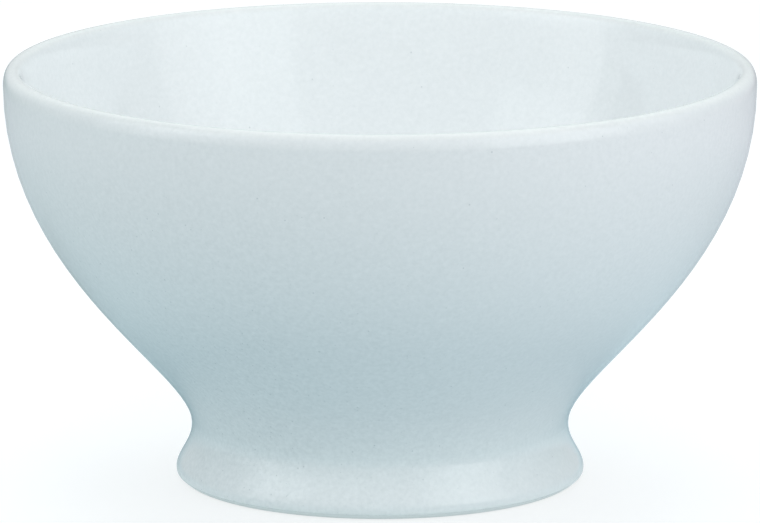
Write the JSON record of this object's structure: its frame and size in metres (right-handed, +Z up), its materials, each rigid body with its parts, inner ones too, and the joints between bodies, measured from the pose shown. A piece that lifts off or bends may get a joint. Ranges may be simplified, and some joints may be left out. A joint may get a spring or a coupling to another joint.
{
  "type": "latte bowl",
  "caption": "Round footed bowl for milky coffee: deep flared white porcelain with a rounded lip, on a short hollow pedestal foot, glazed all over but for its bare standing ring.",
  "frame": {"origin": "centre of the flat ring that the bowl stands on, on the bowl's axis, at the height of the table", "axes": "+Z up along the bowl's axis, towards the rim; +X and +Y are any two level directions, because the bowl is round"},
  "size_m": [0.14, 0.14, 0.078],
  "materials": {
    "porcelain": "matte",
    "slip": "matte",
    "glaze": "gloss"
  },
  "bodies": {
    "root": {"bowl_body": "porcelain", "pedestal_foot": "porcelain", "luting_slip": "slip", "glaze_coat": "glaze", "foot_well_glaze": "glaze"}
  },
  "joints": []
}
